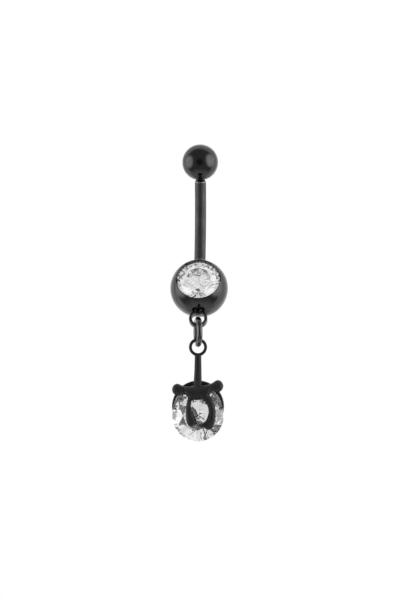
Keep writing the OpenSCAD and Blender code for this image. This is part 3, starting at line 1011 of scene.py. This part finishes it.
def setting_mesh(ring):
    """The casting: crossbar, claws and stem are joined and cut by the stone's room, the collar and eyelet
    are joined to them, and all is recast in small cells and smoothed, so that they flow into each other."""
    setting, links, detail = ring.setting, ring.links, ring.detail
    mesh = crossbar_mesh(ring)
    for part in (claw_mesh(ring, LEFT_CLAW_ROWS), claw_mesh(ring, RIGHT_CLAW_ROWS), stem_mesh(ring)):
        mesh = combined(mesh, "UNION", part)
    room = turned(room_profile(ring, drop_stone_radius(ring)), detail.sides)
    mesh = combined(mesh, "DIFFERENCE", skin(moved(room, face_forward())))
    mesh = combined(mesh, "UNION", collar_mesh(ring))
    eyelet = wire_hoop(links.eyelet_od, links.eyelet_wire, detail.wire_sides, detail.sides)
    top = (0, -setting.set_back / MM, setting.stem_length / MM)
    mesh = combined(mesh, "UNION", skin(moved(eyelet, face_forward(top)), poles=False))
    mesh = worked(
        mesh,
        ("REMESH", {"mode": "VOXEL", "voxel_size": detail.voxel / MM, "use_smooth_shade": True}),
        ("SMOOTH", {"factor": detail.softening, "iterations": detail.smoothing}),
    )
    mesh.transform(Matrix.Translation(Vector(drop_stone_centre(ring))))
    return mesh


# Stage


def lit_by_direction(tree, way, strength, patches):
    """Strength of light from each direction: a plain strength, over which each patch is laid in turn."""
    for x, y, z, inner, outer, light in patches:
        towards = vector_maths(tree, "DOT_PRODUCT", way, Vector((x, y, z)).normalized())
        edge, core = (math.cos(math.radians(turn)) for turn in (outer, inner))
        patch = spread(tree, towards, edge, core, curve="SMOOTHSTEP")
        strength = mixed(tree, patch, strength, light, "FLOAT")
    return strength


def studio_world():
    """World whose light depends on direction: metal reflects a room that is pale behind and at the
    sides and dark in front and above, the stones catch a bright studio with dark things in it, and the
    camera itself sees plain white."""
    world = bpy.data.worlds.new("studio")
    world.use_nodes = True
    tree = world.node_tree
    tree.nodes.clear()
    way = put(tree, "ShaderNodeTexCoord").outputs["Object"]
    rays = put(tree, "ShaderNodeLightPath").outputs
    room = lit_by_direction(tree, way, ROOM_STRENGTH, ROOM_PATCHES)
    cloudy = maths(tree, "MULTIPLY", room, varied(tree, way, *ROOM_CLOUDS))
    noise = {"Vector": way, "Scale": DARK_THINGS_SCALE, "Detail": DARK_THINGS_OCTAVES}
    things = put(tree, "ShaderNodeTexNoise", noise).outputs["Fac"]
    uneven = spread(tree, things, *DARK_THINGS_LIMITS, STONE_DARK, STONE_STRENGTH)
    bright = lit_by_direction(tree, way, uneven, STONE_PATCHES)
    light = mixed(tree, rays["Is Transmission Ray"], cloudy, bright, "FLOAT")
    light = mixed(tree, rays["Is Camera Ray"], light, 1.0, "FLOAT")
    background = put(tree, "ShaderNodeBackground", {"Color": (1, 1, 1, 1), "Strength": light})
    put(tree, "ShaderNodeOutputWorld", {"Surface": background.outputs["Background"]})
    return world


def unseen_by_rays(thing):
    """Keeps an object out of what metal reflects and what the stones let through."""
    thing.visible_glossy = False
    thing.visible_transmission = False


def paper_floor(stage):
    """Round floor of pale paper: points evenly round a circle, in one flat face."""
    a = turns(FLOOR_SIDES)
    rim = np.stack([np.cos(a), np.sin(a), np.zeros_like(a)], axis=-1) * stage.floor_r
    mesh = bpy.data.meshes.new("floor")
    mesh.from_pydata((rim - [0, 0, stage.floor_drop]).tolist(), [], [list(range(FLOOR_SIDES))])
    material, tree, shader, place = new_material("pale_paper")
    rough = varied(tree, place, stage.fibre, *PAPER_ROUGHNESS)
    plug(tree, shader, {"Base Color": rgba(stage.paper), "Roughness": rough})
    mesh.materials.append(material)
    floor = in_scene("floor", mesh)
    unseen_by_rays(floor)


def facing(place, aim):
    """Matrix of a camera or a light at a place, turned to its aim."""
    return Matrix.Translation(place) @ (aim - place).to_track_quat("-Z", "Y").to_matrix().to_4x4()


def overhead_light(stage):
    """Square area light over the part."""
    data = bpy.data.lights.new("overhead", "AREA")
    data.size = stage.light_size
    data.energy = stage.light_power
    light = in_scene("overhead", data)
    light.matrix_world = facing(Vector((0, 0, stage.light_height)), Vector())
    unseen_by_rays(light)


def photo_camera(stage):
    """Camera at the photograph's angle, whose view is as high as the photograph."""
    data = bpy.data.cameras.new("camera")
    data.lens = data.sensor_width * stage.distance / (PHOTO_HEIGHT_PX / stage.scale * MM)
    data.clip_start = NEAREST
    camera = in_scene("camera", data)
    away = Vector((math.sin(stage.azimuth), -math.cos(stage.azimuth), 0)) * stage.distance
    target = Vector((0, 0, stage.height))
    camera.matrix_world = facing(target + away, target)
    bpy.context.scene.camera = camera


# Operators and panel


class NAVELRING_OT_stage(Operator):
    """Sets up the pale floor, the soft studio light and the camera"""

    bl_idname = "navelring.stage"
    bl_label = "Stage"

    def execute(self, context):
        scene, stage = context.scene, context.scene.navel_ring.stage
        paper_floor(stage)
        scene.world = studio_world()
        overhead_light(stage)
        photo_camera(stage)
        scene.view_settings.view_transform = "Standard"
        scene.cycles.max_bounces = stage.bounces
        scene.cycles.glossy_bounces = stage.bounces
        scene.cycles.transmission_bounces = stage.bounces
        return {"FINISHED"}


class NAVELRING_OT_bar(Operator):
    """Makes the curved bar with its bevelled ends and posts"""

    bl_idname = "navelring.bar"
    bl_label = "Bar"

    def execute(self, context):
        ring = context.scene.navel_ring
        finish = ring.finish
        # Painted highlight lines along the bevels' lower edges.
        edges = [shoulder(ring.bar, end) for end in (TOP, LOW)]
        # The bar's coating is painted lighter than the balls', as light that it catches.
        coat = black_coat(finish, "black_bar_coat_painted_light", finish.bar, BAR_MARKS, finish.brushed, edges)
        put_in_place("bar_polished", skin(bar_rows(ring)), "barbell", "bar", coat)
        return {"FINISHED"}


class NAVELRING_OT_balls(Operator):
    """Makes the plain top ball, and the lower ball with its rim, cup and loop"""

    bl_idname = "navelring.balls"
    bl_label = "Balls"

    def execute(self, context):
        ring = context.scene.navel_ring
        finish = ring.finish
        coat = black_coat(finish, "black_coated_balls", finish.coat, BALL_MARKS, finish.gloss)
        top = skin(moved(top_ball_rows(ring), ball_place(ring, TOP, ring.balls.top_d)))
        put_in_place("top_ball_polished", top, "top_ball", "top_ball", coat)
        put_in_place("gem_ball_polished", gem_ball_mesh(ring), "barbell", "gem_ball", coat)
        return {"FINISHED"}


class NAVELRING_OT_links(Operator):
    """Makes the jump ring"""

    bl_idname = "navelring.links"
    bl_label = "Jump ring"

    def execute(self, context):
        ring = context.scene.navel_ring
        finish = ring.finish
        # The jump ring's coating is painted lighter than the balls', as light that it catches.
        coat = black_coat(finish, "black_wire_coat_painted_light", finish.wire, WIRE_MARKS, finish.gloss)
        mesh = skin(jump_ring_rows(ring), poles=False)
        put_in_place("jump_ring_polished", mesh, "jump_ring", "jump_ring", coat)
        return {"FINISHED"}


class NAVELRING_OT_setting(Operator):
    """Makes the cast setting with its eyelet, stem, crossbar, claws and collar"""

    bl_idname = "navelring.setting"
    bl_label = "Claw setting"

    def execute(self, context):
        ring = context.scene.navel_ring
        coat = cast_coat(ring)
        put_in_place("claw_setting_cast", setting_mesh(ring), "drop", "claw_setting", coat)
        return {"FINISHED"}


class NAVELRING_OT_stones(Operator):
    """Gives the two cut stones their clear finish"""

    bl_idname = "navelring.stones"
    bl_label = "Stones"

    def execute(self, context):
        ring = context.scene.navel_ring
        stones = {
            "ball_stone": (ball_stone_place(ring), ring.balls.stone_d),
            "pendant_stone": (face_forward(drop_stone_centre(ring)), ring.setting.stone_d),
        }
        for name, (place, across) in stones.items():
            girdle = place @ Matrix.Translation((0, 0, ring.cut.girdle * across / 2 / MM))
            clear = cut_stone(ring.finish, f"clear_{name}", girdle)
            for slot in frame["nodes"][name].material_slots:
                slot.material = clear
        return {"FINISHED"}


class NAVELRING_PT_pieces(Panel):
    """Lists the pieces of the navel ring"""

    bl_idname = "NAVELRING_PT_pieces"
    bl_label = "Navel ring"
    bl_space_type = "VIEW_3D"
    bl_region_type = "UI"
    bl_category = "Navel ring"

    def draw(self, context):
        for operator in OPERATORS:
            self.layout.operator(operator.bl_idname)


OPERATORS = [
    NAVELRING_OT_stage,
    NAVELRING_OT_bar,
    NAVELRING_OT_balls,
    NAVELRING_OT_links,
    NAVELRING_OT_setting,
    NAVELRING_OT_stones,
]
GROUPS = [
    BarSizes, BallSizes, LinkSizes, SettingSizes, CutSizes, Clearances, Finishes, MeshDetail, StageSizes,
    NavelRing,
]
CLASSES = GROUPS + OPERATORS + [NAVELRING_PT_pieces]


def register():
    for kind in CLASSES:
        bpy.utils.register_class(kind)
    bpy.types.Scene.navel_ring = PointerProperty(type=NavelRing)


def unregister():
    del bpy.types.Scene.navel_ring
    for kind in reversed(CLASSES):
        bpy.utils.unregister_class(kind)


def main():
    register()
    bpy.ops.navelring.stage()
    bpy.ops.navelring.bar()
    bpy.ops.navelring.balls()
    bpy.ops.navelring.links()
    bpy.ops.navelring.setting()
    bpy.ops.navelring.stones()


if __name__ == "__main__":
    main()
